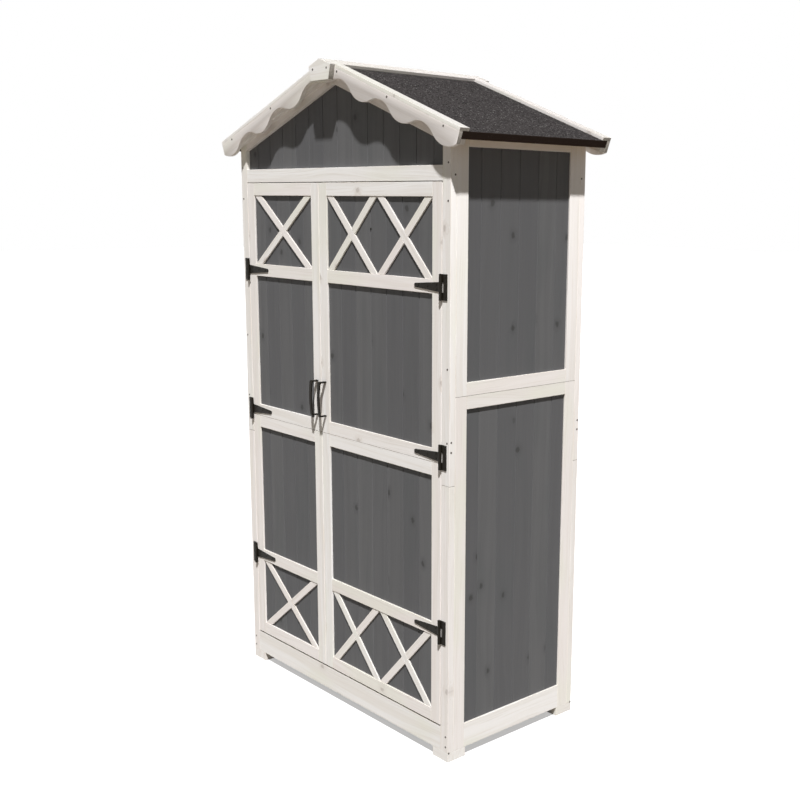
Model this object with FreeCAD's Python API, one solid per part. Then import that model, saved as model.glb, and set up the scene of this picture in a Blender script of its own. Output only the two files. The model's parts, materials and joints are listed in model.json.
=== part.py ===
import FreeCAD, Part
import math
import os

# Garden storage cabinet: two unequal doors, a gabled roof with wavy bargeboards.
# Millimetres. +Z up, the doors face -Y. Origin on the ground under the middle.

# Body
BODY_W = 1000.0
BODY_D = 500.0
FOOT_H = 27.0
FOOT_L = 65.0
POST_W = 32.0
POST_D = 20.0
POST_SEAM_Z = 788.0
SIDE_SEAM_Z = 1025.5
PLINTH_H = 71.0
LINTEL_H = 39.5
GABLE_H = 267.6

# Framed panels of the sides and the back
FRAME_T = 18.0
SIDE_STILE_W = 40.0
SIDE_RAIL_W = 36.0
SIDE_TOP_RAIL_W = 40.0
RECESS = 6.0
GROOVE_D = 5.0
GROOVE_CLEAR = 0.2

# Tongued and grooved boards
BOARD_T = 9.0
BOARD_COVER = 70.0
TONGUE_T = 3.0
TONGUE_L = 4.0
TONGUE_CLEAR = 0.15
SHOULDER_GAP = 0.2
V_JOINT = 1.5
GABLE_RECESS = 12.0

# Doors
MEET_X = -80.5
MEET_GAP = 3.0
DOOR_SIDE_GAP = 2.5
DOOR_FOOT_GAP = 3.0
DOOR_HEAD_GAP = 2.0
LOWER_DOOR_H = 743.5
UPPER_DOOR_H = 733.5
DOOR_STOCK_W = 37.5
LOWER_LATTICE_H = 217.0
UPPER_LATTICE_H = 210.0
SLAT_W = 22.0
SLAT_SET_BACK = 1.5
LEFT_CELLS = 1
RIGHT_CELLS = 2

# T-hinges
HINGE_LEAF_T = 2.0
HINGE_PLATE_W = 22.0
HINGE_PLATE_H = 68.0
HINGE_NOTCH = 5.0
STRAP_LEN = 110.0
STRAP_ROOT_H = 27.0
STRAP_TIP_R = 5.5
BARREL_R = 4.5
PIN_R = 2.2
PIN_CLEAR = 0.05
PIN_STAND = 0.6
KNUCKLE_GAP = 0.3
BARREL_STAND = 0.3

# Pull handles
HANDLE_LEN = 106.0
HANDLE_REACH = 24.0
HANDLE_BOW = 4.0
HANDLE_T = 4.0
HANDLE_TOP_W = 12.0
HANDLE_FOOT_W = 8.0
HANDLE_BEND_R = 3.0
HANDLE_RISE = 13.0

# Magnetic catches behind the door heads
CATCH_W = 34.0
CATCH_D = 14.0
CATCH_H = 44.0
CATCH_OVER = 20.0
CATCH_GAP = 0.3
STRIKE_W = 28.0
STRIKE_H = 15.0
STRIKE_T = 1.5

# Roof
PITCH = 20.0
DECK_T = 12.0
FELT_T = 2.0
FELT_TURN = 6.0
EAVE_OVERHANG = 63.0
BATTEN_T = 17.0
BATTEN_H = 20.0
BARGE_T = 12.0
WAVE_MEAN = 37.0
WAVE_HEIGHT = 15.0
WAVE_PITCH = 183.0
BARGE_CORNER_R = 8.0
RAFTER_W = 37.5
CAP_T = 9.0
VERGE_CAP_W = 32.0
RIDGE_CAP_W = 42.0
APEX_COVER_T = 18.0
APEX_COVER_TOP_W = 104.0
APEX_COVER_FOOT_W = 84.0
APEX_COVER_H = 59.0

# Inside
FLOOR_T = 12.0
FLOOR_BOARDS = 5
FLOOR_GAP = 3.0
BEARER_W = 36.0
BEARER_H = 36.0
BEARER_INSET = 30.0
DIVIDER_T = 12.0
DIVIDER_HEAD_GAP = 18.0
DIVIDER_SET_BACK = 12.0
SHELF_T = 12.0
SHELF_STEP = 355.0
SHELF_SET_BACK = 17.0
SHELF_CLEAR = 0.3
SHELF_BATTEN = 18.0
SHELF_BATTEN_END = 20.0

# Levels and faces that follow from the sizes
SIDE = BODY_W / 2
FRONT = -BODY_D / 2
BACK = BODY_D / 2
POST_IN = SIDE - POST_W
DOOR_Z0 = FOOT_H + PLINTH_H + DOOR_FOOT_GAP
DOOR_SEAM_Z = DOOR_Z0 + LOWER_DOOR_H
DOOR_Z1 = DOOR_SEAM_Z + UPPER_DOOR_H
LINTEL_Z0 = DOOR_Z1 + DOOR_HEAD_GAP
GABLE_Z0 = LINTEL_Z0 + LINTEL_H
DECK_APEX_Z = GABLE_Z0 + GABLE_H
TAN = math.tan(math.radians(PITCH))
SIN = math.sin(math.radians(PITCH))
COS = math.cos(math.radians(PITCH))
ROOF_T = DECK_T + FELT_T
ROOF_APEX_Z = DECK_APEX_Z + ROOF_T / COS
SLOPE_END = (SIDE + EAVE_OVERHANG) / COS
DECK_Y = -FRONT + BATTEN_T
BARGE_Y = DECK_Y + BARGE_T
FLOOR_TOP = FOOT_H + PLINTH_H
REACH_Z = ROOF_APEX_Z + APEX_COVER_H

# How near an edge lies to a point to count as being there
TOUCH = 0.01


def vec(x, y, z):
    return FreeCAD.Vector(x, y, z)


def box(x0, x1, y0, y1, z0, z1):
    return Part.makeBox(x1 - x0, y1 - y0, z1 - z0, vec(x0, y0, z0))


def prism_xz(points, y0, y1):
    """Polygon given as (x, z) points, pushed along Y."""
    corners = [vec(x, y0, z) for x, z in points]
    face = Part.Face(Part.makePolygon(corners + corners[:1]))
    return face.extrude(vec(0, y1 - y0, 0))


def prism_xy(points, z0, z1):
    """Polygon given as (x, y) points, pushed along Z."""
    corners = [vec(x, y, z0) for x, y in points]
    face = Part.Face(Part.makePolygon(corners + corners[:1]))
    return face.extrude(vec(0, 0, z1 - z0))


def mirror_x(shape):
    return shape.mirror(vec(0, 0, 0), vec(1, 0, 0))


def mirror_y(shape):
    return shape.mirror(vec(0, 0, 0), vec(0, 1, 0))


def to_right_side(shape):
    """Turn a panel that faces -Y so that it faces +X on the right side."""
    turned = shape.copy()
    turned.rotate(vec(0, 0, 0), vec(0, 0, 1), 90)
    turned.translate(vec(SIDE, 0, 0))
    return turned


def save(node, solids):
    shape = Part.makeCompound(solids) if len(solids) > 1 else solids[0]
    shape.exportStep("parts/" + node + ".step")


# Slope coordinates: s runs down the roof surface from the ridge, h goes square
# into the roof. The right slope is drawn, the left one is its mirror image.
def slope_point(s, h):
    return (s * COS - h * SIN, ROOF_APEX_Z - s * SIN - h * COS)


def slope_slab(h0, h1, s_end, y0, y1):
    """Slab between two depths, mitred upright at the ridge."""
    outline = [(h0 * TAN, h0), (s_end, h0), (s_end, h1), (h1 * TAN, h1)]
    return prism_xz([slope_point(s, h) for s, h in outline], y0, y1)


def roof_space():
    """Everything above the underside of the roof deck."""
    reach = SIDE + EAVE_OVERHANG
    low = DECK_APEX_Z - reach * TAN
    top = REACH_Z
    outline = [(-reach, low), (0, DECK_APEX_Z), (reach, low), (reach, top), (-reach, top)]
    return prism_xz(outline, -BARGE_Y, BARGE_Y)


ABOVE_DECK = roof_space()


# Tongued and grooved boards, side by side across x0 to x1, outer face at y0
def board_outline(u, y0):
    y1 = y0 + BOARD_T
    mid = (y0 + y1) / 2
    tongue = TONGUE_T / 2
    groove = tongue + TONGUE_CLEAR
    right = u + BOARD_COVER - SHOULDER_GAP
    return [
        (u + V_JOINT, y0),
        (right - V_JOINT, y0),
        (right, y0 + V_JOINT),
        (right, mid - tongue),
        (right + TONGUE_L, mid - tongue),
        (right + TONGUE_L, mid + tongue),
        (right, mid + tongue),
        (right, y1),
        (u, y1),
        (u, mid + groove),
        (u + TONGUE_L, mid + groove),
        (u + TONGUE_L, mid - groove),
        (u, mid - groove),
        (u, y0 + V_JOINT),
    ]


def board_field(x0, x1, z0, z1, y0):
    count = math.ceil((x1 - x0) / BOARD_COVER)
    start = (x0 + x1 - count * BOARD_COVER) / 2
    field = box(x0, x1, y0, y0 + BOARD_T, z0, z1)
    boards = []
    for i in range(count):
        board = prism_xy(board_outline(start + i * BOARD_COVER, y0), z0, z1)
        if i in (0, count - 1):
            board = board.common(field)
        boards.extend(board.Solids)
    return boards


# A framed panel faces -Y with its outer face at y0: two full-height stiles,
# a rail at the foot and one at the head, boards held in grooves between them
def framed_panel(x0, x1, y0, stile_w, rails):
    (bottom, z0), (z1, top) = rails
    inner_0 = x0 + stile_w
    inner_1 = x1 - stile_w
    y1 = y0 + FRAME_T
    board_y = y0 + RECESS
    held = GROOVE_D - GROOVE_CLEAR
    boards = board_field(inner_0 - held, inner_1 + held, z0 - held, z1 + held, board_y)
    groove = box(
        inner_0 - GROOVE_D,
        inner_1 + GROOVE_D,
        board_y - GROOVE_CLEAR,
        board_y + BOARD_T + GROOVE_CLEAR,
        z0 - GROOVE_D,
        z1 + GROOVE_D,
    )
    members = [
        box(x0, inner_0, y0, y1, bottom, top),
        box(inner_1, x1, y0, y1, bottom, top),
        box(inner_0, inner_1, y0, y1, bottom, z0),
        box(inner_0, inner_1, y0, y1, z1, top),
    ]
    return [member.cut(groove) for member in members], boards


def make_feet():
    feet = []
    for x0 in (-SIDE, SIDE - FOOT_L):
        for y0 in (FRONT, BACK - FOOT_L):
            feet.append(box(x0, x0 + FOOT_L, y0, y0 + FOOT_L, 0, FOOT_H))
    return feet


def make_right_front_post():
    """Two lengths stacked at the seam, the upper one cut to the roof slope."""
    y1 = FRONT + POST_D
    lower = box(POST_IN, SIDE, FRONT, y1, FOOT_H, POST_SEAM_Z)
    upper = box(POST_IN, SIDE, FRONT, y1, POST_SEAM_Z, REACH_Z).cut(ABOVE_DECK)
    return [lower, upper]


# The sides and the back are each a lower and an upper panel
FOOT_RAIL = (FOOT_H, FOOT_H + PLINTH_H)
RAIL_BELOW_SEAM = (SIDE_SEAM_Z - SIDE_RAIL_W, SIDE_SEAM_Z)
RAIL_ABOVE_SEAM = (SIDE_SEAM_Z, SIDE_SEAM_Z + SIDE_RAIL_W)


def make_right_side():
    half = BODY_D / 2 - POST_D
    lower_rails = [FOOT_RAIL, RAIL_BELOW_SEAM]
    plate_z = DECK_APEX_Z - SIDE * TAN
    bevel_z = plate_z + FRAME_T * TAN
    upper_rails = [RAIL_ABOVE_SEAM, (plate_z - SIDE_TOP_RAIL_W, bevel_z)]
    lower, lower_boards = framed_panel(-half, half, 0, SIDE_STILE_W, lower_rails)
    upper, upper_boards = framed_panel(-half, half, 0, SIDE_STILE_W, upper_rails)
    lower = [to_right_side(member) for member in lower]
    upper = [to_right_side(member).cut(ABOVE_DECK) for member in upper]
    boards = [to_right_side(board) for board in lower_boards + upper_boards]
    return lower, upper, boards


def make_back():
    lower_rails = [FOOT_RAIL, RAIL_BELOW_SEAM]
    upper_rails = [RAIL_ABOVE_SEAM, (GABLE_Z0 - LINTEL_H, GABLE_Z0)]
    lower, lower_boards = framed_panel(-POST_IN, POST_IN, FRONT, SIDE_STILE_W, lower_rails)
    upper, upper_boards = framed_panel(-POST_IN, POST_IN, FRONT, SIDE_STILE_W, upper_rails)
    lower = [mirror_y(member) for member in lower]
    upper = [mirror_y(member) for member in upper]
    boards = [mirror_y(board) for board in lower_boards + upper_boards]
    return lower, upper, boards


def make_gable():
    """Front gable: two rafters mitred at the ridge and the boards between."""
    rafter = slope_slab(ROOF_T, ROOF_T + RAFTER_W, SLOPE_END, FRONT, FRONT + FRAME_T)
    between_posts = box(0, POST_IN, FRONT, BACK, GABLE_Z0, REACH_Z)
    rafter = rafter.common(between_posts)
    board_y = FRONT + GABLE_RECESS
    apex = DECK_APEX_Z - RAFTER_W / COS
    shoulder = apex - POST_IN * TAN
    outline = [
        (-POST_IN, GABLE_Z0),
        (POST_IN, GABLE_Z0),
        (POST_IN, shoulder),
        (0, apex),
        (-POST_IN, shoulder),
    ]
    field = prism_xz(outline, board_y, board_y + BOARD_T)
    boards = []
    for board in board_field(-POST_IN, POST_IN, GABLE_Z0, apex, board_y):
        boards.extend(board.common(field).Solids)
    return [rafter, mirror_x(rafter)], boards


# Doors
def slat_foot(cell_w, height):
    """Width of a slat's end along the rail when its outer corners meet the cell's."""
    a = height ** 2 - SLAT_W ** 2
    b = 2 * cell_w * SLAT_W ** 2
    c = -SLAT_W ** 2 * (cell_w ** 2 + height ** 2)
    return (-b + math.sqrt(b ** 2 - 4 * a * c)) / (2 * a)


def lattice(x0, x1, z0, z1, cells):
    """Crossed slats lying on the boards, halved into each other where they cross."""
    cell_w = (x1 - x0) / cells
    foot = slat_foot(cell_w, z1 - z0)
    y0 = FRONT + SLAT_SET_BACK
    y1 = FRONT + RECESS
    half = (y0 + y1) / 2
    slats = []
    for i in range(cells):
        a = x0 + i * cell_w
        b = a + cell_w
        falling = [(b - foot, z0), (b, z0), (a + foot, z1), (a, z1)]
        rising = [(a, z0), (a + foot, z0), (b, z1), (b - foot, z1)]
        slats.append(prism_xz(falling, y0, y1).cut(prism_xz(rising, half, y1)))
        slats.append(prism_xz(rising, y0, y1).cut(prism_xz(falling, y0, half)))
    return slats


def door_levels():
    """Rails of the lower and the upper half of a door, from the bottom up."""
    lattice_top = DOOR_Z0 + DOOR_STOCK_W + LOWER_LATTICE_H
    lattice_foot = DOOR_Z1 - DOOR_STOCK_W - UPPER_LATTICE_H
    lower = [
        (DOOR_Z0, DOOR_Z0 + DOOR_STOCK_W),
        (lattice_top, lattice_top + DOOR_STOCK_W),
        (DOOR_SEAM_Z - DOOR_STOCK_W, DOOR_SEAM_Z),
    ]
    upper = [
        (DOOR_SEAM_Z, DOOR_SEAM_Z + DOOR_STOCK_W),
        (lattice_foot - DOOR_STOCK_W, lattice_foot),
        (DOOR_Z1 - DOOR_STOCK_W, DOOR_Z1),
    ]
    return lower, upper


LOWER_RAILS, UPPER_RAILS = door_levels()
HINGE_RAILS = (LOWER_RAILS[1], UPPER_RAILS[0], UPPER_RAILS[1])
HINGE_LEVELS = [(z0 + z1) / 2 for z0, z1 in HINGE_RAILS]


def door_half(x0, x1, rails):
    """Framed panel with its middle rail planted on the front of the boards."""
    bottom, middle, top = rails
    members, boards = framed_panel(x0, x1, FRONT, DOOR_STOCK_W, [bottom, top])
    inner_0 = x0 + DOOR_STOCK_W
    inner_1 = x1 - DOOR_STOCK_W
    members.append(box(inner_0, inner_1, FRONT, FRONT + RECESS, *middle))
    return members, boards


def make_door(x0, x1, cells):
    lower, lower_boards = door_half(x0, x1, LOWER_RAILS)
    upper, upper_boards = door_half(x0, x1, UPPER_RAILS)
    inner_0 = x0 + DOOR_STOCK_W
    inner_1 = x1 - DOOR_STOCK_W
    slats = lattice(inner_0, inner_1, LOWER_RAILS[0][1], LOWER_RAILS[1][0], cells)
    slats += lattice(inner_0, inner_1, UPPER_RAILS[1][1], UPPER_RAILS[2][0], cells)
    return lower, upper, lower_boards + upper_boards, slats


# Hinges, drawn for the right door
HINGE_X = POST_IN - DOOR_SIDE_GAP / 2
HINGE_Y = FRONT - BARREL_STAND - BARREL_R
BORE_R = PIN_R + PIN_CLEAR


def barrel(z0, z1):
    return Part.makeCylinder(BARREL_R, z1 - z0, vec(HINGE_X, HINGE_Y, z0))


def bored(shape):
    bore = Part.makeCylinder(BORE_R, REACH_Z, vec(HINGE_X, HINGE_Y, 0))
    return shape.cut(bore).removeSplitter()


def hinge_plate(level):
    """Leaf with two knuckles and a notch between them for the strap's knuckle."""
    z0 = level - HINGE_PLATE_H / 2
    z1 = level + HINGE_PLATE_H / 2
    notch_0 = level - STRAP_ROOT_H / 2 - KNUCKLE_GAP
    notch_1 = level + STRAP_ROOT_H / 2 + KNUCKLE_GAP
    edge = HINGE_X + HINGE_PLATE_W
    leaf_y = FRONT - HINGE_LEAF_T
    leaf = box(HINGE_X, edge, leaf_y, FRONT, z0, z1)
    notch_edge = HINGE_X + BARREL_R + HINGE_NOTCH
    leaf = leaf.cut(box(HINGE_X, notch_edge, leaf_y, FRONT, notch_0, notch_1))
    return bored(leaf.fuse([barrel(z0, notch_0), barrel(notch_1, z1)]))


def hinge_strap(level):
    """Strap that tapers from its knuckle to a round tip."""
    root = STRAP_ROOT_H / 2
    tip_x = HINGE_X - STRAP_LEN + STRAP_TIP_R
    y = FRONT - HINGE_LEAF_T
    a = vec(HINGE_X, y, level - root)
    b = vec(tip_x, y, level - STRAP_TIP_R)
    c = vec(tip_x - STRAP_TIP_R, y, level)
    d = vec(tip_x, y, level + STRAP_TIP_R)
    e = vec(HINGE_X, y, level + root)
    round_tip = Part.Arc(b, c, d).toShape()
    edges = [Part.makeLine(a, b), round_tip, Part.makeLine(d, e), Part.makeLine(e, a)]
    leaf = Part.Face(Part.Wire(edges)).extrude(vec(0, HINGE_LEAF_T, 0))
    return bored(leaf.fuse(barrel(level - root, level + root)))


def hinge_pin(level):
    length = HINGE_PLATE_H + 2 * PIN_STAND
    return Part.makeCylinder(PIN_R, length, vec(HINGE_X, HINGE_Y, level - length / 2))


def make_handle(x):
    """Bent strap pull on a stile, wider at the top than at the foot."""
    z0 = UPPER_RAILS[0][1] + HANDLE_RISE
    z1 = z0 + HANDLE_LEN
    mid = (z0 + z1) / 2
    out = FRONT - HANDLE_REACH
    bow = out - HANDLE_BOW

    def bent(inset):
        a = vec(x, FRONT, z0 + inset)
        b = vec(x, out + inset, z0 + inset)
        c = vec(x, out + inset, z1 - inset)
        d = vec(x, FRONT, z1 - inset)
        back = Part.Arc(b, vec(x, bow + inset, mid), c).toShape()
        edges = [Part.makeLine(a, b), back, Part.makeLine(c, d), Part.makeLine(d, a)]
        face = Part.Face(Part.Wire(edges))
        solid = face.extrude(vec(HANDLE_TOP_W, 0, 0))
        solid.translate(vec(-HANDLE_TOP_W / 2, 0, 0))
        bends = []
        for edge in solid.Edges:
            bounds = edge.BoundBox
            along_x = bounds.XLength > HANDLE_TOP_W / 2 and bounds.ZLength < TOUCH
            if along_x and bounds.YMax < FRONT - inset:
                bends.append(edge)
        return solid.makeFillet(HANDLE_BEND_R, bends)

    strip = bent(0).cut(bent(HANDLE_T))
    half_top = HANDLE_TOP_W / 2
    half_foot = HANDLE_FOOT_W / 2
    taper = [(x - half_foot, z0), (x + half_foot, z0), (x + half_top, z1), (x - half_top, z1)]
    return strip.common(prism_xz(taper, bow, FRONT))


def make_catch(x):
    """Magnet case on the back of the lintel, stepped forward over the strike plate."""
    z0 = DOOR_Z1 - CATCH_OVER
    lip = FRONT + FRAME_T + STRIKE_T + CATCH_GAP
    case = box(x - CATCH_W / 2, x + CATCH_W / 2, lip, lip + CATCH_D, z0, z0 + CATCH_H)
    seat_z = LINTEL_Z0
    seat = box(x - CATCH_W / 2, x + CATCH_W / 2, FRONT + FRAME_T, lip, seat_z, z0 + CATCH_H)
    return case.fuse(seat).removeSplitter()


def make_strike(x):
    y0 = FRONT + FRAME_T
    z1 = DOOR_Z1 - DOOR_HEAD_GAP
    return box(x - STRIKE_W / 2, x + STRIKE_W / 2, y0, y0 + STRIKE_T, z1 - STRIKE_H, z1)


# Roof pieces, drawn for the right slope and the front edge
def make_deck():
    return slope_slab(FELT_T, ROOF_T, SLOPE_END - FELT_T, -DECK_Y, DECK_Y)


def make_felt():
    """One sheet over the ridge, turned down over the edges of both decks."""
    turn = ROOF_T + FELT_TURN
    inner = SLOPE_END - FELT_T
    right = [(0, 0), (SLOPE_END, 0), (SLOPE_END, turn), (inner, turn), (inner, FELT_T)]
    right = [slope_point(s, h) for s, h in right]
    under_ridge = slope_point(FELT_T * TAN, FELT_T)
    left = [(-x, z) for x, z in reversed(right[1:])]
    return prism_xz(right + [under_ridge] + left, -DECK_Y, DECK_Y)


# The scalloped edge is a chain of equal arcs, each half a wave long, turned up and
# down by turns, which meet on the wave's middle line with no kink
ARC_HALF = WAVE_PITCH / 4
WAVE_R = (ARC_HALF ** 2 + WAVE_HEIGHT ** 2) / (2 * WAVE_HEIGHT)


def wave_depth(s):
    """Depth of the scalloped edge below the roof surface, s along the slope."""
    arc = round(s / (2 * ARC_HALF))
    along = s - 2 * ARC_HALF * arc
    swell = WAVE_HEIGHT - WAVE_R + math.sqrt(WAVE_R ** 2 - along ** 2)
    return WAVE_MEAN + swell if arc % 2 == 0 else WAVE_MEAN - swell


def make_bargeboard():
    """Board with a scalloped lower edge, deepest at the ridge."""
    y0 = -BARGE_Y

    def at(s, depth):
        x, z = slope_point(s, depth)
        return vec(x, y0, z)

    edges = []
    start = -ARC_HALF
    while start < SLOPE_END:
        middle = start + ARC_HALF
        end = middle + ARC_HALF
        first = at(start, WAVE_MEAN)
        last = at(end, WAVE_MEAN)
        edges.append(Part.Arc(first, at(middle, wave_depth(middle)), last).toShape())
        start = end
    outline = [at(start, WAVE_MEAN), at(start, 0), at(-ARC_HALF, 0), at(-ARC_HALF, WAVE_MEAN)]
    edges += [Part.makeLine(a, b) for a, b in zip(outline, outline[1:])]
    blank = Part.Face(Part.Wire(edges)).extrude(vec(0, BARGE_T, 0))
    limits = slope_slab(0, WAVE_MEAN + 2 * WAVE_HEIGHT, SLOPE_END, y0, y0 + BARGE_T)
    board = blank.common(limits)
    foot = at(SLOPE_END, wave_depth(SLOPE_END)) + vec(0, BARGE_T / 2, 0)
    corner = [e for e in board.Edges if e.CenterOfMass.distanceToPoint(foot) < TOUCH]
    return board.makeFillet(BARGE_CORNER_R, corner)


def make_verge_batten():
    return slope_slab(ROOF_T, ROOF_T + BATTEN_H, SLOPE_END - FELT_T, -DECK_Y, FRONT)


def make_verge_cap():
    return slope_slab(-CAP_T, 0, SLOPE_END, -BARGE_Y, -BARGE_Y + VERGE_CAP_W)


def make_ridge_cap():
    end = BARGE_Y - VERGE_CAP_W
    return slope_slab(-CAP_T, 0, RIDGE_CAP_W, -end, end)


def make_apex_cover():
    top = ROOF_APEX_Z + CAP_T / COS
    shoulder = top - APEX_COVER_TOP_W / 2 * TAN
    foot = top - APEX_COVER_H
    half_top = APEX_COVER_TOP_W / 2
    half_foot = APEX_COVER_FOOT_W / 2
    outline = [
        (0, top),
        (half_top, shoulder),
        (half_foot, foot),
        (-half_foot, foot),
        (-half_top, shoulder),
    ]
    return prism_xz(outline, -BARGE_Y - APEX_COVER_T, -BARGE_Y)


# Inside
def make_floor():
    inner_x = SIDE - FRAME_T
    inner_y = BODY_D / 2 - POST_D
    width = (2 * inner_y - (FLOOR_BOARDS - 1) * FLOOR_GAP) / FLOOR_BOARDS
    boards = []
    for i in range(FLOOR_BOARDS):
        y0 = -inner_y + i * (width + FLOOR_GAP)
        boards.append(box(-inner_x, inner_x, y0, y0 + width, FLOOR_TOP - FLOOR_T, FLOOR_TOP))
    return boards


def make_bearers():
    z1 = FLOOR_TOP - FLOOR_T
    reach = SIDE - FRAME_T - BEARER_INSET - BEARER_W / 2
    length = BODY_D / 2 - FRAME_T
    bearers = []
    for x in (-reach, 0, reach):
        x0 = x - BEARER_W / 2
        bearers.append(box(x0, x0 + BEARER_W, -length, length, z1 - BEARER_H, z1))
    return bearers


DIVIDER_X0 = MEET_X - DIVIDER_T / 2
DIVIDER_X1 = MEET_X + DIVIDER_T / 2
INNER_BACK = BACK - FRAME_T
SHELF_LEVELS = [FLOOR_TOP + i * SHELF_STEP for i in (1, 2, 3)]


def make_divider():
    """Panel from the floor up to a gap under the catches."""
    y0 = FRONT + FRAME_T + DIVIDER_SET_BACK
    z1 = DOOR_Z1 - CATCH_OVER - DIVIDER_HEAD_GAP
    return box(DIVIDER_X0, DIVIDER_X1, y0, INNER_BACK, FLOOR_TOP, z1)


def make_shelf(level):
    x0 = DIVIDER_X1 + SHELF_CLEAR
    x1 = SIDE - FRAME_T - SHELF_CLEAR
    y0 = FRONT + FRAME_T + SHELF_SET_BACK
    y1 = BACK - POST_D - SHELF_CLEAR
    return box(x0, x1, y0, y1, level, level + SHELF_T)


def make_shelf_battens():
    y = BODY_D / 2 - POST_D - SHELF_BATTEN_END
    side_x = SIDE - FRAME_T
    battens = []
    for level in SHELF_LEVELS:
        z0 = level - SHELF_BATTEN
        battens.append(box(DIVIDER_X1, DIVIDER_X1 + SHELF_BATTEN, -y, y, z0, level))
        battens.append(box(side_x - SHELF_BATTEN, side_x, -y, y, z0, level))
    return battens


def main():
    save("corner_feet", make_feet())

    front_post = make_right_front_post()
    save("right_front_post", front_post)
    save("left_front_post", [mirror_x(p) for p in front_post])
    save("right_rear_post", [mirror_y(p) for p in front_post])
    save("left_rear_post", [mirror_x(mirror_y(p)) for p in front_post])

    lower, upper, boards = make_right_side()
    save("right_lower_side_frame", lower)
    save("right_upper_side_frame", upper)
    save("right_side_boards", boards)
    save("left_lower_side_frame", [mirror_x(p) for p in lower])
    save("left_upper_side_frame", [mirror_x(p) for p in upper])
    save("left_side_boards", [mirror_x(p) for p in boards])

    lower, upper, boards = make_back()
    save("back_lower_frame", lower)
    save("back_upper_frame", upper)
    save("back_boards", boards)

    face_y = FRONT + FRAME_T
    save("lintel", [box(-POST_IN, POST_IN, FRONT, face_y, LINTEL_Z0, GABLE_Z0)])
    save("plinth_board", [box(-POST_IN, POST_IN, FRONT, face_y, FOOT_H, FLOOR_TOP)])

    rafters, boards = make_gable()
    save("front_gable_rafters", rafters)
    save("front_gable_boards", boards)
    save("rear_gable_rafters", [mirror_y(p) for p in rafters])
    save("rear_gable_boards", [mirror_y(p) for p in boards])

    save("floor_boards", make_floor())
    save("floor_bearers", make_bearers())
    save("divider_panel", [make_divider()])
    for name, level in zip(("lower_shelf", "middle_shelf", "upper_shelf"), SHELF_LEVELS):
        save(name, [make_shelf(level)])
    save("shelf_battens", make_shelf_battens())

    deck = make_deck()
    save("right_roof_deck", [deck])
    save("left_roof_deck", [mirror_x(deck)])
    save("roof_felt", [make_felt()])
    ridge_cap = make_ridge_cap()
    save("ridge_caps", [ridge_cap, mirror_x(ridge_cap)])
    batten = make_verge_batten()
    front_battens = [batten, mirror_x(batten)]
    save("verge_battens", front_battens + [mirror_y(p) for p in front_battens])

    board = make_bargeboard()
    cap = make_verge_cap()
    for name, piece in (("bargeboard", board), ("verge_cap", cap)):
        save("right_front_" + name, [piece])
        save("left_front_" + name, [mirror_x(piece)])
        save("right_rear_" + name, [mirror_y(piece)])
        save("left_rear_" + name, [mirror_x(mirror_y(piece))])
    cover = make_apex_cover()
    save("front_apex_cover", [cover])
    save("rear_apex_cover", [mirror_y(cover)])

    plates = [hinge_plate(level) for level in HINGE_LEVELS]
    pins = [hinge_pin(level) for level in HINGE_LEVELS]
    straps = [hinge_strap(level) for level in HINGE_LEVELS]
    save("hinge_plates", plates + [mirror_x(p) for p in plates])
    save("hinge_pins", pins + [mirror_x(p) for p in pins])

    door_edge = POST_IN - DOOR_SIDE_GAP
    half_gap = MEET_GAP / 2
    left = make_door(-door_edge, MEET_X - half_gap, LEFT_CELLS)
    right = make_door(MEET_X + half_gap, door_edge, RIGHT_CELLS)
    left_stile_x = MEET_X - half_gap - DOOR_STOCK_W / 2
    right_stile_x = MEET_X + half_gap + DOOR_STOCK_W / 2
    left_straps = [mirror_x(p) for p in straps]
    doors = (("left", left, left_straps, left_stile_x), ("right", right, straps, right_stile_x))
    for side, (lower, upper, boards, slats), own_straps, stile_x in doors:
        save(side + "_door_lower_frame", lower)
        save(side + "_door_upper_frame", upper)
        save(side + "_door_boards", boards)
        save(side + "_door_lattice", slats)
        save(side + "_door_straps", own_straps)
        save(side + "_door_handle", [make_handle(stile_x)])
        save(side + "_door_strike", [make_strike(stile_x)])
    save("door_catches", [make_catch(left_stile_x), make_catch(right_stile_x)])


main()
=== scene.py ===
import json
import math
import random

import bmesh
import bpy
from mathutils import Euler, Matrix, Vector

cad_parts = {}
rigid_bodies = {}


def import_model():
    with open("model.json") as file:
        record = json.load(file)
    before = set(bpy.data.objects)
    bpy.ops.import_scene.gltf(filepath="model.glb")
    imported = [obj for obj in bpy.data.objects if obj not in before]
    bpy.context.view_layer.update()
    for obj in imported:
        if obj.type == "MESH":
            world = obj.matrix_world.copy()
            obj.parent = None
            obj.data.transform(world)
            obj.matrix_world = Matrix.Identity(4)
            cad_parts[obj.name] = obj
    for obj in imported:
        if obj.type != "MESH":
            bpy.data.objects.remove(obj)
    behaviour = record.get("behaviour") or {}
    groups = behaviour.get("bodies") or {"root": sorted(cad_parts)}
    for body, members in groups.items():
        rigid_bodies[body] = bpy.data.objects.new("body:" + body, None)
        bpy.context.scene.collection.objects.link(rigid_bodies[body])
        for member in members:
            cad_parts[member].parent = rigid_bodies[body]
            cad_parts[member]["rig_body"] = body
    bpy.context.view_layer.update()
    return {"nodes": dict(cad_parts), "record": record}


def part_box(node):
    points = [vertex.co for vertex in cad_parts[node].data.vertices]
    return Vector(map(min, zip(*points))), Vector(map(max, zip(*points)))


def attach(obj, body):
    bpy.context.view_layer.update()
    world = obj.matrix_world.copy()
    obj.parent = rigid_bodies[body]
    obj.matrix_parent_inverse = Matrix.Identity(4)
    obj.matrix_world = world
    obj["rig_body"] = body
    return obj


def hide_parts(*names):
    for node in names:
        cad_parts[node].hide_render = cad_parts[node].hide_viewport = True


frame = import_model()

MM = 0.001
draw = random.Random(7)


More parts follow.
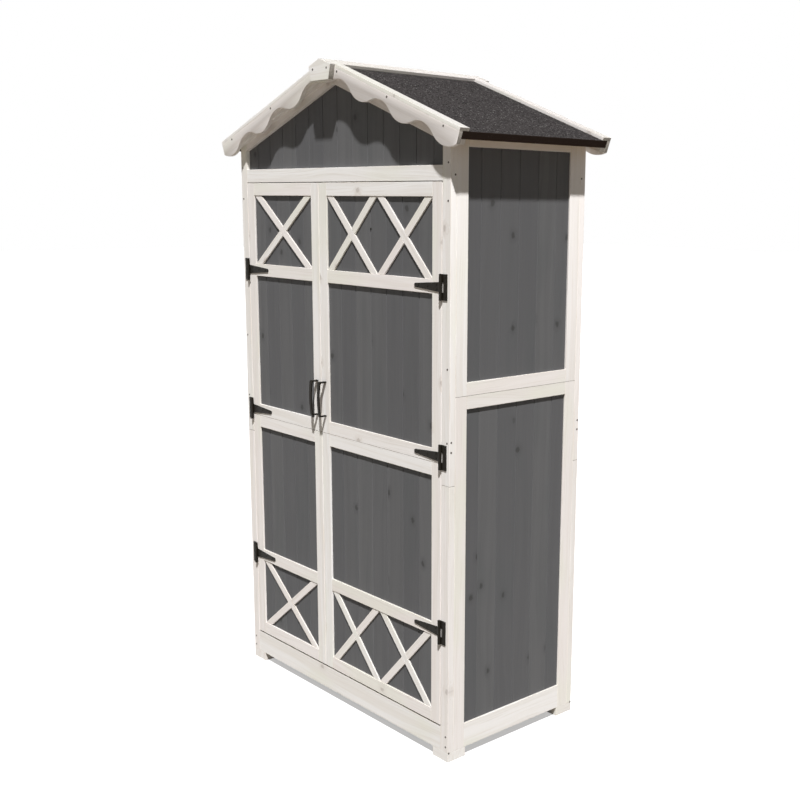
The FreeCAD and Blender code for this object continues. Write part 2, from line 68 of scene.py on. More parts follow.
# Materials
class Term:
    """A value inside a material, so that its maths is written as plain sums."""

    def __init__(self, paint, socket):
        self.paint = paint
        self.socket = socket

    def combine(self, operation, first, second):
        return self.paint.node("Math", {"operation": operation}, {0: first, 1: second})

    def __add__(self, other):
        return self.combine("ADD", self, other)

    def __radd__(self, other):
        return self.combine("ADD", other, self)

    def __sub__(self, other):
        return self.combine("SUBTRACT", self, other)

    def __rsub__(self, other):
        return self.combine("SUBTRACT", other, self)

    def __mul__(self, other):
        return self.combine("MULTIPLY", self, other)

    def __rmul__(self, other):
        return self.combine("MULTIPLY", other, self)


class Paint:
    """One finish: a material and the few kinds of node that it is made of."""

    def __init__(self, name, specular=0.5):
        self.material = bpy.data.materials.new(name)
        self.material.use_nodes = True
        self.tree = self.material.node_tree
        self.shader = self.tree.nodes["Principled BSDF"]
        self.join(self.shader, "Specular IOR Level", specular)

    def join(self, node, socket, value):
        target = node.inputs[socket]
        if isinstance(value, Term):
            self.tree.links.new(value.socket, target)
        else:
            target.default_value = value

    def node(self, kind, settings=None, sockets=None, output=0):
        node = self.tree.nodes.new("ShaderNode" + kind)
        for name, value in (settings or {}).items():
            setattr(node, name, value)
        for socket, value in (sockets or {}).items():
            self.join(node, socket, value)
        return Term(self, node.outputs[output])

    def finish(self, **shader):
        for socket, value in shader.items():
            self.join(self.shader, socket.replace("_", " ").title(), value)
        return self.material

    def attribute(self, name, output="Fac"):
        return self.node("Attribute", {"attribute_name": name}, output=output)

    def stretch(self, vector, scale):
        """A vector in metres at so many features per metre along each of its values."""
        return self.node("VectorMath", {"operation": "MULTIPLY"}, {0: vector, 1: scale})

    def evenly(self, scale):
        """The place on the piece at so many features per metre in every direction."""
        place = self.node("TexCoord", output="Object")
        return self.stretch(place, (scale, scale, scale))

    def sideways(self, vector, by):
        """The vector with its second value shifted."""
        shift = self.node("CombineXYZ", None, {1: by})
        return self.node("VectorMath", {"operation": "ADD"}, {0: vector, 1: shift})

    def noise(self, vector, detail, rough=0.55):
        sockets = {"Vector": vector, "Scale": 1.0, "Detail": detail, "Roughness": rough}
        return self.node("TexNoise", None, sockets)

    def cells(self, vector, output, dimensions):
        """Cells: how far the nearest middle lies, or its own colour."""
        sockets = {"Vector": vector, "Scale": 1.0, "Randomness": 0.9}
        return self.node("TexVoronoi", {"voronoi_dimensions": dimensions}, sockets, output)

    def ramp(self, value, low, high, at_low=0.0, at_high=1.0):
        """Rises or falls smoothly between two limits of a value."""
        sockets = {0: value, 1: low, 2: high, 3: at_low, 4: at_high}
        return self.node("MapRange", {"interpolation_type": "SMOOTHSTEP"}, sockets)

    def mix(self, share, first, second):
        """Colour between two colours, or two terms, by a share from 0 to 1."""
        return self.node("Mix", {"data_type": "RGBA"}, {0: share, 6: first, 7: second}, 2)

    def red_of(self, colour):
        return self.node("SeparateColor", None, {0: colour})

    def bump(self, height, distance, strength):
        sockets = {"Height": height, "Distance": distance, "Strength": strength}
        return self.node("Bump", None, sockets)


def srgb(red, green, blue):
    """A colour given as it looks on a screen, 0 to 255, as shader values."""
    def linear(value):
        value = value / 255
        return value / 12.92 if value <= 0.04045 else ((value + 0.055) / 1.055) ** 2.4
    return (linear(red), linear(green), linear(blue), 1.0)


class WoodFigure:
    """Rings, streaks and knots that follow a board's own length.

    The grain attribute holds metres along, across and through each timber.
    """

    def __init__(self, paint, knot_share):
        grain = paint.attribute("grain", "Vector")
        wobble = paint.noise(paint.stretch(grain, (70.0, 90.0, 0.0)), 2.0)
        knot_place = paint.sideways(paint.stretch(grain, (8.0, 11.0, 0.0)), wobble * 0.16)
        far = paint.cells(knot_place, "Distance", "2D")
        pick = paint.red_of(paint.cells(knot_place, "Color", "2D"))
        chosen = paint.ramp(pick, 1 - knot_share, 1.02 - knot_share)
        self.tone = paint.attribute("tone")
        self.rub = paint.attribute("rub")
        self.end = paint.attribute("end")
        self.dirt_and_shade = paint.attribute("dirt_and_shade")
        self.knots = paint.ramp(far, 0.09, 0.04) * chosen
        self.halo = paint.ramp(far, 0.24, 0.05) * chosen
        sway = paint.noise(paint.stretch(grain, (1.3, 5.0, 5.0)), 2.0)
        bent = paint.sideways(grain, self.halo * 0.014 + sway * 0.09)
        self.rings = paint.noise(paint.stretch(bent, (0.7, 48.0, 20.0)), 2.0, 0.5)
        self.streaks = paint.noise(paint.stretch(bent, (5.0, 240.0, 240.0)), 3.0, 0.6)
        self.patches = paint.noise(paint.stretch(grain, (2.6, 7.0, 7.0)), 2.0)


def whitewashed_timber():
    """Thin white wash over pine: pale grain and knots, grey ends, rubbed arrises, and painted shade
    in seams, notches and gaps and on upward faces.
    """
    paint = Paint("whitewashed_timber", specular=0.2)
    wood = WoodFigure(paint, knot_share=0.14)
    colour = paint.mix(paint.ramp(wood.rings, 0.36, 0.64), srgb(251, 249, 247), srgb(242, 238, 233))
    colour = paint.mix(paint.ramp(wood.tone, 0.1, 0.9, 0.0, 0.5), colour, srgb(247, 238, 234))
    colour = paint.mix(paint.ramp(wood.patches, 0.5, 0.66, 0.0, 0.5), colour, srgb(240, 240, 226))
    colour = paint.mix(paint.ramp(wood.streaks, 0.5, 0.7, 0.0, 0.4), colour, srgb(227, 220, 211))
    colour = paint.mix(wood.halo * 0.3, colour, srgb(218, 209, 201))
    colour = paint.mix(wood.knots * 0.45, colour, srgb(176, 166, 158))
    worn = wood.rub * paint.ramp(wood.streaks, 0.45, 0.65, 0.05, 0.5)
    colour = paint.mix(worn, colour, srgb(222, 208, 188))
    sawn = paint.mix(paint.ramp(wood.streaks, 0.4, 0.6), srgb(182, 177, 170), srgb(150, 145, 138))
    colour = paint.mix(wood.end, colour, sawn)
    # Painted shade in seams, notches, the plinth gap and on upward faces, as a darker brown
    colour = paint.mix(wood.dirt_and_shade, colour, srgb(70, 62, 54))
    return paint.finish(
        base_color=colour,
        roughness=paint.ramp(wood.streaks, 0.3, 0.7, 0.52, 0.68),
        normal=paint.bump(wood.streaks * 0.6 + wood.rings * 0.4, 0.3 * MM, 0.8),
    )


def grey_stained_boards():
    """Dark grey stain: even, with soft upright streaks, darker knots and dirt in the joints."""
    paint = Paint("grey_stained_boards", specular=0.1)
    wood = WoodFigure(paint, knot_share=0.2)
    colour = paint.mix(paint.ramp(wood.rings, 0.36, 0.64), srgb(105, 105, 106), srgb(101, 101, 102))
    colour = paint.mix(paint.ramp(wood.tone, 0.0, 1.0, 0.0, 0.7), colour, srgb(93, 93, 95))
    colour = paint.mix(paint.ramp(wood.patches, 0.48, 0.7, 0.0, 0.35), colour, srgb(92, 94, 95))
    colour = paint.mix(paint.ramp(wood.streaks, 0.52, 0.72, 0.0, 0.1), colour, srgb(80, 80, 81))
    colour = paint.mix(wood.halo * 0.35, colour, srgb(78, 78, 78))
    colour = paint.mix(wood.knots * 0.55, colour, srgb(54, 53, 52))
    colour = paint.mix(wood.dirt_and_shade, colour, srgb(60, 60, 61))
    height = wood.streaks * 0.6 + wood.rings * 0.4 - wood.knots * 0.4
    return paint.finish(
        base_color=colour,
        roughness=paint.ramp(wood.streaks, 0.3, 0.7, 0.55, 0.7),
        normal=paint.bump(height, 0.2 * MM, 0.35),
    )


def plain_pine():
    """Planed pine with no finish, for the pieces inside."""
    paint = Paint("plain_pine", specular=0.3)
    wood = WoodFigure(paint, knot_share=0.2)
    colour = paint.mix(paint.ramp(wood.rings, 0.36, 0.64), srgb(222, 200, 163), srgb(204, 174, 131))
    colour = paint.mix(paint.ramp(wood.tone, 0.0, 1.0, 0.0, 0.5), colour, srgb(212, 188, 152))
    colour = paint.mix(paint.ramp(wood.streaks, 0.5, 0.72, 0.0, 0.4), colour, srgb(184, 150, 108))
    colour = paint.mix(wood.halo * 0.4, colour, srgb(178, 136, 94))
    colour = paint.mix(wood.knots * 0.85, colour, srgb(116, 78, 50))
    return paint.finish(
        base_color=colour,
        roughness=paint.ramp(wood.streaks, 0.3, 0.7, 0.5, 0.68),
        normal=paint.bump(wood.streaks, 0.2 * MM, 0.7),
    )


def mineral_felt():
    """Roofing felt faced with fine dark grit and a few pale grains, darker and browner on its
    upright edge faces.
    """
    paint = Paint("mineral_felt", specular=0.0)
    grit = paint.noise(paint.evenly(230.0), 2.0, 0.7)
    clump = paint.noise(paint.evenly(90.0), 3.0, 0.6)
    patch = paint.noise(paint.evenly(6.0), 3.0)
    grain_place = paint.evenly(230.0)
    pick = paint.red_of(paint.cells(grain_place, "Color", "3D"))
    near = paint.ramp(paint.cells(grain_place, "Distance", "3D"), 0.6, 0.4)
    pale = paint.ramp(pick, 0.94, 0.97) * near
    colour = paint.mix(paint.ramp(grit, 0.42, 0.6), srgb(38, 36, 36), srgb(71, 68, 68))
    colour = paint.mix(paint.ramp(clump, 0.54, 0.7, 0.0, 0.4), colour, srgb(82, 78, 77))
    colour = paint.mix(paint.ramp(clump, 0.46, 0.3, 0.0, 0.6), colour, srgb(30, 28, 27))
    colour = paint.mix(paint.ramp(patch, 0.4, 0.7, 0.0, 0.2), colour, srgb(56, 53, 52))
    colour = paint.mix(pale * 0.42, colour, srgb(150, 146, 144))
    # Darker and browner on the felt's upright edge faces
    colour = paint.mix(paint.attribute("dirt_and_shade") * 0.9, colour, srgb(62, 51, 46))
    return paint.finish(
        base_color=colour,
        roughness=paint.ramp(grit, 0.3, 0.7, 0.82, 0.96),
        normal=paint.bump(grit + clump, 0.6 * MM, 0.8),
    )


def black_steel():
    """Black coated steel, a little worn along its edges."""
    paint = Paint("black_steel", specular=0.15)
    mottle = paint.noise(paint.evenly(260.0), 3.0)
    worn = paint.attribute("rub") * paint.ramp(mottle, 0.5, 0.72, 0.0, 0.5)
    colour = paint.mix(paint.ramp(mottle, 0.3, 0.7), srgb(18, 15, 11), srgb(28, 24, 17))
    colour = paint.mix(worn, colour, srgb(74, 69, 60))
    return paint.finish(
        base_color=colour,
        metallic=worn,
        roughness=paint.ramp(mottle, 0.3, 0.7, 0.46, 0.62),
        normal=paint.bump(mottle, 0.12 * MM, 0.6),
    )


def bright_steel():
    """Zinc plated steel with a fine spangle."""
    paint = Paint("bright_steel")
    spangle = paint.noise(paint.evenly(190.0), 2.0)
    colour = paint.mix(spangle, srgb(150, 151, 153), srgb(190, 191, 192))
    return paint.finish(
        base_color=colour,
        metallic=1.0,
        roughness=paint.ramp(spangle, 0.3, 0.7, 0.28, 0.45),
        normal=paint.bump(spangle, 0.05 * MM, 0.5),
    )


def brown_moulding():
    """Brown moulded plastic of the catch cases."""
    paint = Paint("brown_moulding")
    grit = paint.noise(paint.evenly(900.0), 2.0)
    colour = paint.mix(grit, srgb(84, 62, 44), srgb(98, 74, 54))
    return paint.finish(
        base_color=colour,
        roughness=paint.ramp(grit, 0.3, 0.7, 0.4, 0.5),
        normal=paint.bump(grit, 0.05 * MM, 0.5),
    )


def dull_screw():
    """Dull, darkened steel of the screws in the timber and the fittings."""
    paint = Paint("dull_screw")
    mottle = paint.noise(paint.evenly(700.0), 2.0)
    colour = paint.mix(mottle, srgb(54, 49, 45), srgb(88, 80, 73))
    return paint.finish(
        base_color=colour,
        metallic=0.5,
        roughness=paint.ramp(mottle, 0.3, 0.7, 0.45, 0.62),
        normal=paint.bump(mottle, 0.05 * MM, 0.5),
    )


# A finish is a slot and its material
WHITE = ("white_timber", whitewashed_timber())
GREY = ("grey_boards", grey_stained_boards())
PINE = ("plain_timber", plain_pine())
FELT = ("roof_felt", mineral_felt())
BLACK = ("black_steel", black_steel())
ZINC = ("bright_steel", bright_steel())
CASE = ("catch_case", brown_moulding())
SCREW = ("bright_steel", dull_screw())


# Places, sizes and angles that the pieces share
POST_FACE = abs(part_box("right_front_post")[0].y)
SIDE_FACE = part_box("right_front_post")[1].x
BARGE_FACE = abs(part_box("right_front_bargeboard")[0].y)
PLATE_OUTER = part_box("hinge_plates")[1].x
PLATE_W = 22 * MM
PLATE_T = 2 * MM
HINGE_FACE = -POST_FACE - PLATE_T
TIMBER_ARRIS = 0.8 * MM
INNER_ARRIS = 0.6 * MM
FELT_ARRIS = 0.6 * MM
STEEL_ARRIS = 0.3 * MM
WELD = 0.01 * MM
FLAT_ANGLE = math.radians(0.5)
SMOOTH_ANGLE = math.radians(24)
SHARP_ANGLE = math.radians(25)
FORWARD = (0, -1, 0)
BACKWARD = (0, 1, 0)
UPWARD = (0, 0, 1)

# The apex covers are this much thinner, so that their screw heads stay inside the CAD's box
COVER_THINNED = 0.6 * MM
COVER_FACE = abs(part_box("front_apex_cover")[0].y) - COVER_THINNED


def post_seam():
    """Height at which the two lengths of a post meet, in its middle third."""
    low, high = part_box("right_front_post")
    third = (high.z - low.z) / 3
    heights = [vert.co.z for vert in frame["nodes"]["right_front_post"].data.vertices]
    return next(z for z in heights if low.z + third < z < high.z - third)


# Heights where two lengths of a frame or post meet; a thin line of painted shade is drawn along
# each
SEAMS = [
    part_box("right_door_lower_frame")[1].z,
    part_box("right_lower_side_frame")[1].z,
    post_seam(),
]
SEAM_REACH = 1.5 * MM

# Shares of dirt and of painted shade on the timber, and of weathered grey on its sawn ends
JOINT_SOIL = 0.15
LEDGE_PAINTED_SHADE = 0.35
CAP_PAINTED_SHADE = 0.55
SEAM_PAINTED_SHADE = 0.55
NOTCH_PAINTED_SHADE = 0.8
END_GREY = 0.3
ROOF_END_GREY = 0.85


def add_piece(name, mesh, body, finish):
    """Puts a mesh into the scene as a piece that rides a body."""
    slot, material = finish
    data = bpy.data.meshes.new(name)
    mesh.to_mesh(data)
    mesh.free()
    data.materials.append(material)
    piece = bpy.data.objects.new(name, data)
    bpy.context.scene.collection.objects.link(piece)
    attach(piece, body)
    return piece


# Pieces that take the shape of a CAD node
def nodes_of(slot):
    return [part["node"] for part in frame["record"]["subparts"] if part["material_slot"] == slot]


def merge_solids(mesh):
    """Numbers the solids of a mesh of loose triangles and merges each on its own.

    The solids follow one another: one ends where no edge is left open.
    """
    solid = mesh.faces.layers.int.new("solid")
    open_edges = set()
    solids = [[]]
    for face in mesh.faces:
        if solids[-1] and not open_edges:
            solids.append([])
        face[solid] = len(solids) - 1
        solids[-1].extend(face.verts)
        places = [tuple(round(value, 5) for value in vert.co) for vert in face.verts]
        for start, end in zip(places, places[1:] + places[:1]):
            if (end, start) in open_edges:
                open_edges.remove((end, start))
            else:
                open_edges.add((start, end))
    for corners in solids:
        bmesh.ops.remove_doubles(mesh, verts=list(dict.fromkeys(corners)), dist=WELD)
    return solid, len(solids)


def thin_outer_face(mesh, depth):
    """Moves the face that stands furthest out at the front or the back inward."""
    outermost = max(abs(vert.co.y) for vert in mesh.verts)
    for vert in mesh.verts:
        if abs(vert.co.y) > outermost - 0.1 * MM:
            vert.co.y -= math.copysign(depth, vert.co.y)


def lay_of(faces, upright):
    """Directions along, across and through a piece of timber."""
    edges = [edge for face in faces for edge in face.edges]
    longest = max(edges, key=lambda edge: round(edge.calc_length(), 5))
    along = (longest.verts[1].co - longest.verts[0].co).normalized()
    if upright:
        along = Vector((0, 0, 1))
    if max(along, key=abs) < 0:
        along = -along
    square = [face for face in faces if abs(face.normal.dot(along)) < 0.1]
    broad = max(square, key=lambda face: round(face.calc_area(), 7))
    through = broad.normal.copy()
    return along, through.cross(along), through


def lays_of(mesh, solid, count, upright):
    """The lay of each solid of a mesh, in the order of their numbers."""
    faces_of = [[] for _ in range(count)]
    for face in mesh.faces:
        faces_of[face[solid]].append(face)
    return [lay_of(faces, upright) for faces in faces_of]


def end_grey(node, face, along):
    """Share of weathered grey on a sawn end. The feet have none."""
    if node == "corner_feet" or abs(face.normal.dot(along)) < 0.9:
        return 0.0
    return ROOF_END_GREY if node.endswith(("bargeboard", "cap", "caps", "cover")) else END_GREY


def ease_edges(mesh, arris, rub):
    """Rounds the sharp edges and marks the new faces as rubbed."""
    sharp = [
        edge for edge in mesh.edges
        if len(edge.link_faces) == 2 and edge.calc_face_angle() > SHARP_ANGLE
    ]
    eased = bmesh.ops.bevel(
        mesh, geom=sharp, offset=arris, offset_type="OFFSET", segments=2, profile=0.5,
        affect="EDGES", clamp_overlap=True, material=-1,
    )
    for face in eased["faces"]:
        face[rub] = 1.0
    bmesh.ops.dissolve_degenerate(mesh, dist=WELD, edges=mesh.edges)


def dirt_and_shade_of(node, face, through):
    """Share of dirt and painted shade on a face: dirt in the boards' joints; painted shade in the
    seams, in the gap over the plinth, on ledges and cap tops; a darker share on the felt's upright
    edge faces.
    """
    if node.endswith("boards"):
        return JOINT_SOIL if 0.5 < abs(face.normal.dot(through)) < 0.9 else 0.0
    # Painted shade: the plinth's top, in the gap under the doors, is made dark
    if node == "plinth_board" and face.normal.z > 0.9:
        return 1.0
    # The felt's upright edge faces are made darker and browner
    if node == "roof_felt":
        return float(abs(face.normal.z) < 0.5)
    # Painted shade along the seams where two lengths of timber meet
    for seam in SEAMS:
        if all(abs(vert.co.z - seam) < SEAM_REACH for vert in face.verts):
            return SEAM_PAINTED_SHADE
    # Painted shade: cap tops darkened against the strong light from above
    if node.endswith(("verge_cap", "ridge_caps", "apex_cover")) and face.normal.z > 0.5:
        return CAP_PAINTED_SHADE
    # Painted shade: other upward faces darkened against the strong light from above
    return LEDGE_PAINTED_SHADE if face.normal.z > 0.4 else 0.0


def lay_grain(mesh, solid, lays):
    """Gives each solid a grain that follows its lay from a random start, and a random tone."""
    grain = mesh.verts.layers.float_vector.new("grain")
    tone = mesh.verts.layers.float.new("tone")
    starts = [Vector([draw.uniform(0, 40) for _ in range(3)]) for _ in lays]
    tones = [draw.random() for _ in lays]
    for vert in mesh.verts:
        number = vert.link_faces[0][solid]
        along, across, through = lays[number]
        own = Vector((vert.co.dot(along), vert.co.dot(across), vert.co.dot(through)))
        vert[grain] = own + starts[number]
        vert[tone] = tones[number]


def dress(node, finish, arris=0.0, upright=False, thinner=0.0):
    """Replaces a node by a copy with eased edges, and with the grain and marks of each solid."""
    mesh = bmesh.new()
    mesh.from_mesh(frame["nodes"][node].data)
    solid, count = merge_solids(mesh)
    bmesh.ops.dissolve_limit(mesh, angle_limit=FLAT_ANGLE, verts=mesh.verts, edges=mesh.edges)
    if thinner:
        thin_outer_face(mesh, thinner)
    rub = mesh.faces.layers.float.new("rub")
    end = mesh.faces.layers.float.new("end")
    dirt_and_shade = mesh.faces.layers.float.new("dirt_and_shade")
    lays = lays_of(mesh, solid, count, upright)
    for face in mesh.faces:
        face[end] = end_grey(node, face, lays[face[solid]][0])
    if arris:
        ease_edges(mesh, arris, rub)
    for face in mesh.faces:
        face[dirt_and_shade] = dirt_and_shade_of(node, face, lays[face[solid]][2])
    lay_grain(mesh, solid, lays)
    for face in mesh.faces:
        face.smooth = True
    piece = add_piece(node + "_dressed", mesh, frame["nodes"][node]["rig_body"], finish)
    piece.data.set_sharp_from_angle(angle=SMOOTH_ANGLE)
    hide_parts(node)


def paint_node(node, material):
    """Gives a node a finish and leaves its shape as it is."""
    data = frame["nodes"][node].data
    data.materials.clear()
    data.materials.append(material)


# Heights of the hinges, and the painted shade beside them
def hinge_levels():
    """Middle heights of the three hinges, read from the strap solids."""
    space_between = 100 * MM
    vertices = frame["nodes"]["right_door_straps"].data.vertices
    heights = sorted({round(vertex.co.z, 3) for vertex in vertices})
    levels = []
    first = heights[0]
    for below, above in zip(heights, heights[1:] + [math.inf]):
        if above - below > space_between:
            levels.append((first + below) / 2)
            first = above
    return levels


HINGE_LEVELS = hinge_levels()


def notch_painted_shade():
    """A thin sheet of painted shade on the posts, in the notches that the hinge plates leave beside
    their knuckles.
    """
    middle = PLATE_OUTER - 15.75 * MM
    width = 6.5 * MM
    height = 27.6 * MM
    thickness = 0.15 * MM
    size = Matrix.Diagonal((width, thickness, height, 1.0))
    mesh = bmesh.new()
    dirt_and_shade = mesh.faces.layers.float.new("dirt_and_shade")
    for level in HINGE_LEVELS:
        for sx in (-1, 1):
            place = Matrix.Translation((sx * middle, -POST_FACE - thickness / 2, level))
            bmesh.ops.create_cube(mesh, size=1.0, matrix=place @ size)
    for face in mesh.faces:
        face[dirt_and_shade] = NOTCH_PAINTED_SHADE
    return mesh


# Screws
def add_head(mesh, point, facing, radius, rise):
    """Screw head with a chamfered rim, a flat top and a sunk driver recess, on a face.

    The three steps are shares: of the radius inward and of the rise upward.
    """
    head = bmesh.new()
    bmesh.ops.create_cone(
        head, cap_ends=True, segments=20, radius1=radius, radius2=radius, depth=rise
    )
    bmesh.ops.translate(head, verts=head.verts, vec=(0, 0, rise / 2))
    for inward, upward in ((0.14, 0.35), (0.42, 0.0), (0.1, -0.9)):
        top = [
            face for face in head.faces
            if len(face.verts) > 4 and face.calc_center_median().z > rise / 2
        ]
        bmesh.ops.inset_region(head, faces=top, thickness=radius * inward, depth=rise * upward)
    bmesh.ops.recalc_face_normals(head, faces=head.faces)
    turn = Vector(facing).to_track_quat("Z", "Y").to_matrix().to_4x4()
    bmesh.ops.transform(head, matrix=Matrix.Translation(Vector(point)) @ turn, verts=head.verts)
    single = bpy.data.meshes.new("head")
    head.to_mesh(single)
    head.free()
    mesh.from_mesh(single)
    bpy.data.meshes.remove(single)


def screws(name, body, finish, places, radius, rise):
    """One piece of several screw heads: each place is a point and a facing."""
    mesh = bmesh.new()
    for point, facing in places:
        add_head(mesh, point, facing, radius, rise)
    add_piece(name, mesh, body, finish)


def post_screw_places():
    """Screws down the four corner posts, on the front or back and on the sides."""
    face_inset = 10 * MM
    heights = [0.043, 0.073, 0.904, 1.100, 1.530, 1.625]
    side_heights = [0.027, 0.880, 0.907, 1.595]
    side_insets = [0.0035, 0.006, 0.006, 0.015]
    places = []
    for sx in (-1, 1):
        for sy in (-1, 1):
            x = sx * (SIDE_FACE - face_inset)
            for z in heights:
                places.append(((x, sy * POST_FACE, z), (0, sy, 0)))
            for z, inset in zip(side_heights, side_insets):
                y = sy * (POST_FACE - inset)
                places.append(((sx * SIDE_FACE, y, z), (sx, 0, 0)))
    return places


def roof_screw_places():
    """Screws in the bargeboards and in the covers over their joint."""
    board = [(0.058, 1.873), (0.278, 1.7935), (0.503, 1.7115)]
    cover = [(-0.031, 1.8835), (0.034, 1.8835)]
    places = []
    for sy in (-1, 1):
        facing = (0, sy, 0)
        for x, z in board:
            for sx in (-1, 1):
                places.append(((sx * x, sy * BARGE_FACE, z), facing))
        for x, z in cover:
            places.append(((x, sy * COVER_FACE, z), facing))
    return places


def plate_screw_places():
    """Three screws down the outer edge of each hinge plate."""
    x = PLATE_OUTER - 6.5 * MM
    step = 26 * MM
    places = []
    for level in HINGE_LEVELS:
        for dz in (-step, 0, step):
            for sx in (-1, 1):
                places.append(((sx * x, HINGE_FACE, level + dz), FORWARD))
    return places


def strap_screw_places(sx):
    """A pair of screws at the broad end of each strap and two more along it."""
    root = PLATE_OUTER - PLATE_W
    places = []
    for level in HINGE_LEVELS:
        for along, dz in ((20, 6), (20, -6), (56, 0), (94, 0)):
            x = sx * (root - along * MM)
            places.append(((x, HINGE_FACE, level + dz * MM), FORWARD))
    return places


def handle_screw_places(side):
    """Screws through the stile from behind, one at each end of a handle."""
    inset = 2 * MM
    low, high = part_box(side + "_door_handle")
    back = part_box(side + "_door_upper_frame")[1].y
    x = (low.x + high.x) / 2
    return [((x, back, z), BACKWARD) for z in (low.z + inset, high.z - inset)]


def strike_screw_places(side):
    """Two flush screws in the strike plate on the back of a door."""
    reach = 9 * MM
    low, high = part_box(side + "_door_strike")
    middle = (low + high) / 2
    return [((middle.x + dx, high.y, middle.z), BACKWARD) for dx in (-reach, reach)]


def middles(node, axis):
    """Middles of the plain bars of a node that lie side by side along an axis."""
    vertices = frame["nodes"][node].data.vertices
    values = sorted({round(vertex.co[axis], 4) for vertex in vertices})
    return [(low + high) / 2 for low, high in zip(values[::2], values[1::2])]


def floor_screw_places():
    """Two screws in each floor board over each bearer."""
    reach = 24 * MM
    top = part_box("floor_boards")[1].z
    places = []
    for x in middles("floor_bearers", 0):
        for y in middles("floor_boards", 1):
            for dy in (-reach, reach):
                places.append(((x, y + dy, top), UPWARD))
    return places


def batten_screw_places():
    """Three screws through each of the battens that carry the shelves."""
    reach = 170 * MM
    left, right = middles("shelf_battens", 0)
    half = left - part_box("shelf_battens")[0].x
    places = []
    for z in middles("shelf_battens", 2):
        for y in (-reach, 0.0, reach):
            places.append(((left + half, y, z), (1, 0, 0)))
            places.append(((right - half, y, z), (-1, 0, 0)))
    return places


def catch_screw_places():
    """Two screws in the back of each catch case."""
    case_half = 17 * MM
    reach = 11 * MM
    drop = 10 * MM
    low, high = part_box("door_catches")
    places = []
    for middle in (low.x + case_half, high.x - case_half):
        for dx in (-reach, reach):
            places.append(((middle + dx, high.y, high.z - drop), BACKWARD))
    return places


def field_screw_place():
    """The one screw that shows between the upper crosses of the right door."""
    low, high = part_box("right_door_lattice")
    vertices = frame["nodes"]["right_door_lattice"].data.vertices
    foot = min(vertex.co.z for vertex in vertices if vertex.co.z > (low.z + high.z) / 2)
    x = low.x + 0.43 * (high.x - low.x)
    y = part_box("right_door_boards")[0].y
    z = foot + 0.58 * (high.z - foot)
    return [((x, y, z), FORWARD)]


# Floor, light and camera
def pale_floor():
    """Wide pale floor: seen as near white, but dimmer and warmer in the light it throws back."""
    reach = 30.0
    mesh = bmesh.new()
    bmesh.ops.create_grid(mesh, x_segments=1, y_segments=1, size=reach)
    data = bpy.data.meshes.new("floor")
    mesh.to_mesh(data)
    mesh.free()
    floor = bpy.data.objects.new("floor", data)
    bpy.context.scene.collection.objects.link(floor)
    paint = Paint("pale_floor", specular=0.0)
    seen = paint.node("LightPath", output="Is Camera Ray")
    glossy = paint.node("LightPath", output="Is Glossy Ray")
    direct = paint.ramp(seen + glossy, 0.0, 1.0)
    paint.finish(
        base_color=paint.mix(direct, srgb(114, 107, 97), srgb(206, 206, 206)),
        emission_color=paint.mix(direct, (0.0, 0.0, 0.0, 1.0), (0.45, 0.45, 0.45, 1.0)),
        emission_strength=1.0,
        roughness=0.9,
    )
    data.materials.append(paint.material)


def studio_sky(strength):
    """Even light all round, seen by the camera and in gloss as plain white."""
    world = bpy.data.worlds.new("studio_sky")
    bpy.context.scene.world = world
    world.use_nodes = True
    nodes = world.node_tree.nodes
    links = world.node_tree.links
    background = nodes["Background"]
    background.inputs["Color"].default_value = (1.0, 1.0, 1.0, 1.0)
    path = nodes.new("ShaderNodeLightPath")
    seen = nodes.new("ShaderNodeMath")
    seen.operation = "MAXIMUM"
    links.new(path.outputs["Is Camera Ray"], seen.inputs[0])
    links.new(path.outputs["Is Glossy Ray"], seen.inputs[1])
    level = nodes.new("ShaderNodeMapRange")
    links.new(seen.outputs[0], level.inputs["Value"])
    level.inputs["To Min"].default_value = strength
    level.inputs["To Max"].default_value = 1.0
    links.new(level.outputs["Result"], background.inputs["Strength"])


def sun(name, toward, strength, spread):
    """A white sun that stands toward a direction, with its spread in degrees."""
    data = bpy.data.lights.new(name, "SUN")
    data.energy = strength
    data.angle = math.radians(spread)
    lamp = bpy.data.objects.new(name, data)
    lamp.rotation_mode = "QUATERNION"
    lamp.rotation_quaternion = Vector(toward).to_track_quat("Z", "Y")
    bpy.context.scene.collection.objects.link(lamp)


def photo_camera():
    """The camera found from the photo's perspective, its focal length in the photo's pixels."""
    photo_width = 800
    focal_length = 1112.2
    turn = (79.138, -0.618, 47.289)
    data = bpy.data.cameras.new("camera")
    data.sensor_width = 36.0
    data.lens = focal_length / photo_width * data.sensor_width
    data.shift_x = -0.10
    data.shift_y = 0.02
    camera = bpy.data.objects.new("camera", data)
    camera.location = (2.6414, -2.1272, 1.5266)
    camera.rotation_euler = Euler([math.radians(angle) for angle in turn])
    bpy.context.scene.collection.objects.link(camera)
    bpy.context.scene.camera = camera


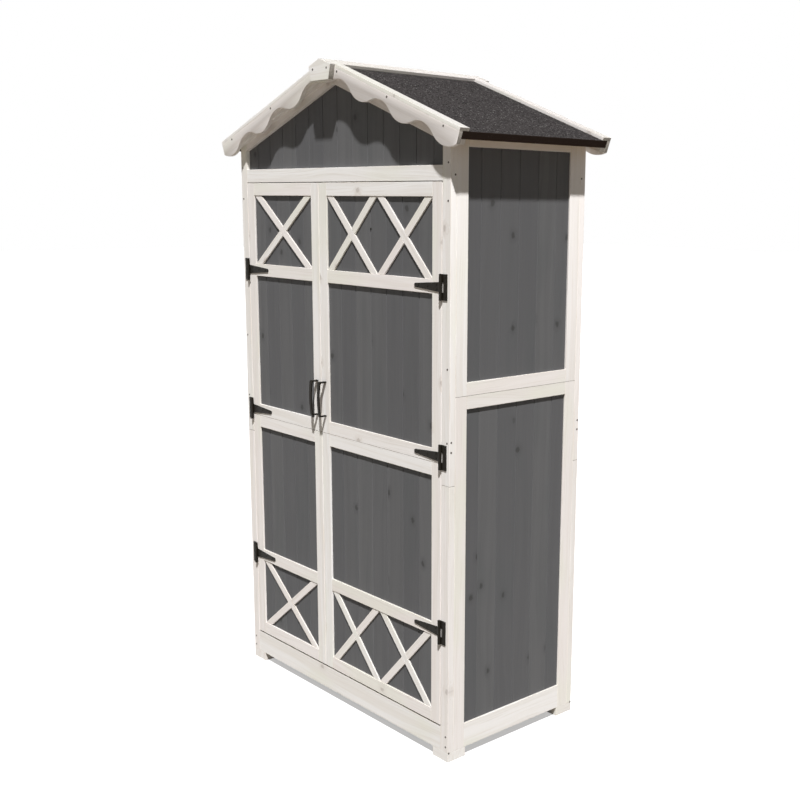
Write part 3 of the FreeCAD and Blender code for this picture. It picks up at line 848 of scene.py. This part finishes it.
# The cabinet and its surroundings, put together
for node in nodes_of("white_timber"):
    thinner = COVER_THINNED if node.endswith("apex_cover") else 0.0
    dress(node, WHITE, arris=TIMBER_ARRIS, thinner=thinner)
for node in nodes_of("grey_boards"):
    dress(node, GREY, upright=True)
for node in nodes_of("plain_timber"):
    dress(node, PINE, arris=INNER_ARRIS)
for node in nodes_of("black_steel"):
    dress(node, BLACK, arris=STEEL_ARRIS)
for node in nodes_of("roof_felt"):
    dress(node, FELT, arris=FELT_ARRIS)
for slot, material in (ZINC, CASE):
    for node in nodes_of(slot):
        paint_node(node, material)

# A thin sheet of painted shade in each hinge notch
add_piece("notch_painted_shade", notch_painted_shade(), "cabinet", WHITE)
screws("post_screws", "cabinet", SCREW, post_screw_places(), radius=2.8 * MM, rise=0.4 * MM)
screws("roof_screws", "cabinet", SCREW, roof_screw_places(), radius=3.0 * MM, rise=0.4 * MM)
screws("plate_screws", "cabinet", BLACK, plate_screw_places(), radius=2.6 * MM, rise=0.8 * MM)
screws("floor_screws", "cabinet", SCREW, floor_screw_places(), radius=3.0 * MM, rise=0.2 * MM)
screws("batten_screws", "cabinet", SCREW, batten_screw_places(), radius=3.0 * MM, rise=0.4 * MM)
screws("catch_screws", "cabinet", SCREW, catch_screw_places(), radius=2.4 * MM, rise=0.6 * MM)
screws("field_screw", "right_door", BLACK, field_screw_place(), radius=3.2 * MM, rise=0.8 * MM)
for side, sx in (("left", -1), ("right", 1)):
    door = side + "_door"
    strike_places = strike_screw_places(side)
    strap_places = strap_screw_places(sx)
    handle_places = handle_screw_places(side)
    screws(side + "_strike_screws", door, SCREW, strike_places, radius=2.2 * MM, rise=0.15 * MM)
    screws(side + "_strap_screws", door, BLACK, strap_places, radius=2.6 * MM, rise=0.8 * MM)
    screws(side + "_handle_screws", door, SCREW, handle_places, radius=4.0 * MM, rise=1.2 * MM)

bpy.context.scene.view_settings.view_transform = "Standard"
pale_floor()
studio_sky(strength=0.08)
sun("key", toward=(1.13, -0.99, 2.63), strength=5.5, spread=2.0)
sun("fill", toward=(1.0, -1.0, 0.15), strength=0.25, spread=60.0)
sun("rear_fill", toward=(-1.0, 1.0, 0.25), strength=1.8, spread=60.0)
photo_camera()
